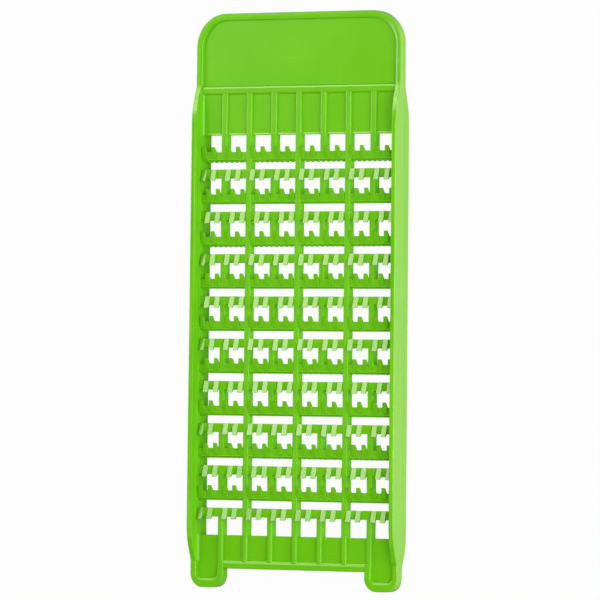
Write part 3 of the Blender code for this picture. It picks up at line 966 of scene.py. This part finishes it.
# %% Lower ridge
EXIT_CREST = (1.75 * MM, 0.86 * MM)
EXIT_RISE = 0.6 * MM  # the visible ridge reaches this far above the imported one
EXIT_FACE = 0.8 * MM
GROOVE = (0.10 * MM, 0.10 * MM)  # run and depth of the groove's upper side
BAND_RUN = 1.0 * MM  # the band under the groove rises over this length
BAND_ROUND = 0.55 * MM
ridge_top = exit_ridge_high.y + EXIT_RISE
ledge = ridge_top - EXIT_CREST[0] - EXIT_FACE
exit_section = rounded([
    (exit_ridge_low.y, FOOT_BACK, BACK_ROUND), (ridge_top, FOOT_BACK, BACK_ROUND),
    (ridge_top, INSIDE, 0), (ridge_top + BURY, INSIDE, 0),
    *flank(ridge_top - EXIT_CREST[0], RIB_FRONT, EXIT_CREST),
    (ledge, RIB_FRONT, 0), (ledge - GROOVE[0], RIB_FRONT - GROOVE[1], 0),
    (ledge - GROOVE[0] - BAND_RUN, RIB_FRONT, BAND_ROUND), (exit_ridge_low.y, RIB_FRONT, BAND_ROUND),
])
ridge_reach = foot_low.x + BURY
piece("exit_ridge", [along_x("ridge", ridge_reach, exit_section, head_plastic)])
print("lower ridge from", round(exit_ridge_low.y / MM, 1), "to", round(ridge_top / MM, 1), "mm")

# %% [markdown]
# ## Ribs
# Ribs stiffen the plates and carry the bars. A rib leans in a little towards its front on both sides,
# with round edges. Over a plate only its upper part shows, and between the bars it runs down to the
# back level, so each rib is a few sweeps of the same section with another depth.

# %% Ribs
BAYS = 8
POSTS = BAYS // 2  # every second rib stops at the bars
RUNNERS = POSTS - 1  # and the others run unbroken
RIB_HALF = 1.6 * MM
ENTRY_HALF = 1.8 * MM  # ribs are wider over the upper plate
RIB_LEAN = 0.12 * MM
RIB_ROUND = 0.2 * MM
FULL_EDGE = 1.0  # how far a rib's edges are broken over the plates
FINE_EDGE = 0.4  # and between the bars


def rib_section(depth, edge, base=RIB_HALF):
    """A rib's section around its own middle, down to a level, with its edges broken by a share."""
    half = base - RIB_LEAN
    shoulder = half - CORNER * edge
    crest = half - CHAMFER[0] * edge
    upper = RIB_FRONT - SHOULDER[1] * edge
    lower = RIB_FRONT - CHAMFER[1] * edge
    turn = RIB_ROUND * edge
    return rounded([
        (-base, depth, BACK_ROUND), (base, depth, BACK_ROUND), (half, lower, turn),
        (shoulder, upper, turn), (crest, RIB_FRONT, turn), (-crest, RIB_FRONT, turn),
        (-shoulder, upper, turn), (-half, lower, turn),
    ], FEW_STEPS)


def middle(node):
    """A node's middle along X."""
    low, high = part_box(node)
    return (low.x + high.x) / 2


# start, end, depth, edge and half width of each stretch
over_entry = (ridge_sole + CREST_ROUND, entry_low.y, INSIDE, FULL_EDGE, ENTRY_HALF)
over_exit = (exit_high.y, ridge_top - BURY, INSIDE, FULL_EDGE, RIB_HALF)
past_bars = (entry_low.y, exit_high.y, RIB_BACK, FINE_EDGE, RIB_HALF)
from_last_bar = (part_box("exit_rib_1")[1].y + BURY, exit_high.y, RIB_BACK, FULL_EDGE, RIB_HALF)
spans = {
    "runner_rib": [over_entry, past_bars, over_exit],
    "entry_rib": [over_entry],
    "exit_rib": [from_last_bar, over_exit],
}
for kind, count in (("runner_rib", RUNNERS), ("entry_rib", POSTS), ("exit_rib", POSTS)):
    for number in range(1, count + 1):
        node = f"{kind}_{number}"
        shapes = []
        for start, end, *section in spans[kind]:
            shapes.append(along_y(node, middle(node), end, start, rib_section(*section), rib_plastic))
        piece(node, shapes)
print("ribs:", len(pieces), "pieces so far")

# %% [markdown]
# ## Teeth
# A tooth is a small wedge: it starts level with the ribs, rises towards its tip and narrows a little.
# Rows of teeth, posts and scallops repeat along a bar, which is what geometry nodes do best: one tree
# sets out copies of a shape along a line, with a small seeded lean so that no two are quite alike.

# %% Row tree
row_sheet, given = new_tree("row", {
    "Shape": "NodeSocketObject", "Count": "NodeSocketInt", "First": "NodeSocketVector",
    "Step": "NodeSocketVector", "Lean": "NodeSocketVector", "Seed": "NodeSocketInt",
    "Finish": "NodeSocketMaterial",
})
shape_node = row_sheet.node("GeometryNodeObjectInfo", {}, {"Object": given["Shape"]})
line_node = row_sheet.node("GeometryNodeMeshLine", {"mode": "OFFSET"}, {
    "Count": given["Count"], "Start Location": given["First"], "Offset": given["Step"],
})
back_lean = row_sheet.node("ShaderNodeVectorMath", {"operation": "SCALE"}, {
    0: given["Lean"], "Scale": -1.0,
})
leaning = row_sheet.node("FunctionNodeRandomValue", {"data_type": "FLOAT_VECTOR"}, {
    "Min": back_lean, "Max": given["Lean"], "Seed": given["Seed"],
})
copies = row_sheet.node("GeometryNodeInstanceOnPoints", {}, {
    "Points": line_node, "Instance": row_sheet.wire(shape_node, "Geometry"), "Rotation": leaning,
})
joined = row_sheet.node("GeometryNodeJoinGeometry")
row_sheet.tree.links.new(copies.outputs[0], joined.inputs[0])
row_sheet.tree.links.new(given["Geometry"].socket, joined.inputs[0])
end_tree(row_sheet, joined, given["Finish"])
print("row tree:", len(row_sheet.tree.nodes), "nodes")

# %% [markdown]
# ## Tooth, bar and scallop shapes
# One tooth of each kind is lofted and then copied by the row tree. An up-toothed bar has a fine bead
# along its lower front edge and a shelf under it, which draw a light and a dark line. The lower back
# edge of some bars is wavy, so it gets a row of half-round scallops that fade along the bar.

# %% Tooth and bar sizes
UP_BAR = 5.1 * MM  # heights of the bars without their teeth
DOWN_BAR = 4.6 * MM
# length, overhang, half width at the root and at the tip, slope
UP_TOOTH = (6.1 * MM, 2.75 * MM, 1.35 * MM, 1.05 * MM, radians(10))
DOWN_TOOTH = (6.0 * MM, 1.4 * MM, 1.45 * MM, 1.4 * MM, radians(16))
TOOTH_NEAR = 3.0 * MM  # places of the two teeth in a bay
TOOTH_FAR = 8.9 * MM
TOOTH_STEP = 0.05 * MM  # the tooth's root stands this far before the ribs' front
TOOTH_NECK = 1.5 * MM  # thickness on the bar's edge
TOOTH_TIP = 0.5 * MM  # thickness at the tip
TOOTH_EDGE = 0.08 * MM
TOOTH_CORNER_STEPS = 1
TOOTH_LEAN = (radians(0.8), radians(0.8), radians(0.6))
BAR_FRONT = RIB_FRONT - 0.4 * MM
BAR_ROUND = 0.15 * MM
LOW_ROUND = 0.45 * MM  # on the lower edge of a down bar
LEDGE = (0.5 * MM, 0.10 * MM)  # run and rise of the slight slope along the first one's lower edge
BAR_SHELF = 0.85 * MM  # an up bar's lower side steps back by this
SHELF_DEPTH = 0.9 * MM  # and at this depth under the bar's front
BEAD_RISE = 0.12 * MM
BEAD_FACE = 0.35 * MM
BEAD_FLANK = 0.14 * MM
BEAD_ROUND = 0.08 * MM
POST_SINK = 0.04 * MM  # posts stay this far behind the ribs that they meet
# how far the scallops of a row stand out at its left and right end
SCALLOP_ROWS = {
    1: (0.45 * MM, 0.40 * MM), 3: (0.45 * MM, 0.15 * MM),
    6: (0.0 * MM, 0.25 * MM), 8: (0.15 * MM, 0.20 * MM),
}
SCALLOP_PITCH = 3.06 * MM
SCALLOP_RADIUS = 1.15 * MM
SCALLOP_STEPS = 6
SCALLOPS = 38
FIRST_SCALLOP = -57.2 * MM
RIB_PITCH = (middle("runner_rib_2") - middle("runner_rib_1")) / 2
print("rib pitch", round(RIB_PITCH / MM, 2), "mm")


# %% Tooth and bar shapes
def tooth(length, overhang, root_half, tip_half, slope):
    """A tooth that points to +Y. Y is 0 on the toothed edge, Z is measured from the rails' back."""
    root = overhang - length
    rings = []
    for y, shrink in ((root, 0), (0, 0), (overhang - TOOTH_EDGE, 0), (overhang, TOOTH_EDGE)):
        out = max(y, 0) / overhang
        front = RIB_FRONT + TOOTH_STEP + (y - root) * tan(slope) - shrink
        depth = TOOTH_NECK + (TOOTH_TIP - TOOTH_NECK) * out - 2 * shrink
        half = root_half + (tip_half - root_half) * out - shrink
        ring = rounded([
            (-half, front - depth, TOOTH_EDGE), (half, front - depth, TOOTH_EDGE),
            (half, front, TOOTH_EDGE), (-half, front, TOOTH_EDGE),
        ], TOOTH_CORNER_STEPS)
        rings.append([(x, y, z) for x, z in ring])
    return loft("tooth", rings, tooth_plastic)


def up_bar_section(low, high):
    """An up-toothed bar's section (y, z): a bead along its lower front edge and a shelf under it."""
    edge = low + BAR_SHELF
    shelf = BAR_FRONT - SHELF_DEPTH
    return rounded([
        (low, BAR_BACK, BAR_ROUND), (high, BAR_BACK, BAR_ROUND), (high, BAR_FRONT, BAR_ROUND),
        (edge + BEAD_FACE + BEAD_FLANK, BAR_FRONT, BEAD_ROUND),
        (edge + BEAD_FACE, BAR_FRONT + BEAD_RISE, BEAD_ROUND), (edge, BAR_FRONT + BEAD_RISE, BEAD_ROUND),
        (edge - BAR_ROUND, shelf, BAR_ROUND), (low, shelf, BAR_ROUND),
    ])


def down_bar_section(low, high, ledge):
    """A down-toothed bar's section (y, z): its lower front edge is a slight ledge or it is round."""
    if not ledge:
        return rounded([
            (low, BAR_BACK, BAR_ROUND), (high, BAR_BACK, BAR_ROUND),
            (high, BAR_FRONT, BAR_ROUND), (low, BAR_FRONT, LOW_ROUND),
        ])
    return rounded([
        (low, BAR_BACK, BAR_ROUND), (high, BAR_BACK, BAR_ROUND), (high, BAR_FRONT, BAR_ROUND),
        (low + BEAD_FACE + LEDGE[0], BAR_FRONT, 0), (low + BEAD_FACE, BAR_FRONT + LEDGE[1], 0),
        (low, BAR_FRONT + LEDGE[1], BEAD_ROUND),
    ])


def scallop():
    """A small half-round bump under a bar's back edge."""
    rounds = arc((0, SCALLOP_RADIUS), SCALLOP_RADIUS, 0, -pi, SCALLOP_STEPS)
    return slab("scallop", rounds, BAR_BACK, BAR_BACK + SCALLOP_RADIUS, tooth_plastic)


def row(shape, copied, count, first, step, lean=(0, 0, 0), seed=0):
    """Add a row of copies to a shape."""
    run_tree(shape, row_sheet.tree, {
        "Shape": copied, "Count": count, "First": first, "Step": step, "Lean": lean, "Seed": seed,
        "Finish": tooth_plastic,
    })


def add_teeth(shape, copied, edge, mirrored, seed):
    """Set out two teeth in every bay, from the left rail or, mirrored, from the right one."""
    way = -1 if mirrored else 1
    for offset in (TOOTH_NEAR, TOOTH_FAR):
        first = way * (offset - RIB_PITCH * BAYS / 2)
        seed += 1
        row(shape, copied, BAYS, (first, edge, 0), (way * RIB_PITCH, 0, 0), TOOTH_LEAN, seed)


# %% [markdown]
# ## Toothed bars
# Nine pairs of bars face each other. In every pair the teeth of one point to the head and those of the
# other to the feet, so the grater cuts both ways. Each second pair is mirrored, so that no tooth follows
# another in the same track. The short ribs of a window belong to the up-toothed bar below it.

# %% Toothed bars
ROWS = 9
ROW_SEEDS = 10  # seeds kept apart for each pair of bars
DOWN_SEED = 5
up_tooth = tooth(*UP_TOOTH)
down_tooth = tooth(*DOWN_TOOTH)
down_tooth.data.transform(Matrix.Rotation(pi, 4, "Z"))
bump = scallop()
post_low, post_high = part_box("up_tooth_bar_1")
POST_LENGTH = post_high.y - post_low.y - UP_BAR
post_section = rib_section(RIB_BACK, FINE_EDGE)
post = along_y("post", 0, -BURY, POST_LENGTH + BURY, post_section, tooth_plastic)
post.data.transform(Matrix.Translation((0, 0, -POST_SINK)))
for number in range(1, ROWS + 1):
    mirrored = number % 2 == 0
    node = f"up_tooth_bar_{number}"
    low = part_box(node)[0].y
    edge = low + UP_BAR
    shape = along_x(node, WALL_REACH, up_bar_section(low, edge), tooth_plastic)
    add_teeth(shape, up_tooth, edge, mirrored, ROW_SEEDS * number)
    row(shape, post, POSTS, (-RUNNERS * RIB_PITCH, edge, 0), (2 * RIB_PITCH, 0, 0))
    if number in SCALLOP_ROWS:
        left_out, right_out = SCALLOP_ROWS[number]
        fade = (left_out - right_out) / (SCALLOPS - 1)
        row(shape, bump, SCALLOPS, (FIRST_SCALLOP, low - left_out, 0), (SCALLOP_PITCH, fade, 0))
    piece(node, [shape])

    node = f"down_tooth_bar_{number}"
    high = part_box(node)[1].y
    edge = high - DOWN_BAR
    section = down_bar_section(edge, high, number == 1)
    shape = along_x(node, WALL_REACH, section, tooth_plastic)
    add_teeth(shape, down_tooth, edge, mirrored, ROW_SEEDS * number + DOWN_SEED)
    piece(node, [shape])
for helper in (up_tooth, down_tooth, bump, post):
    bpy.data.objects.remove(helper)
face_count = sum(len(made.data.polygons) for made in pieces)
print("bars:", len(pieces), "pieces,", face_count, "faces")
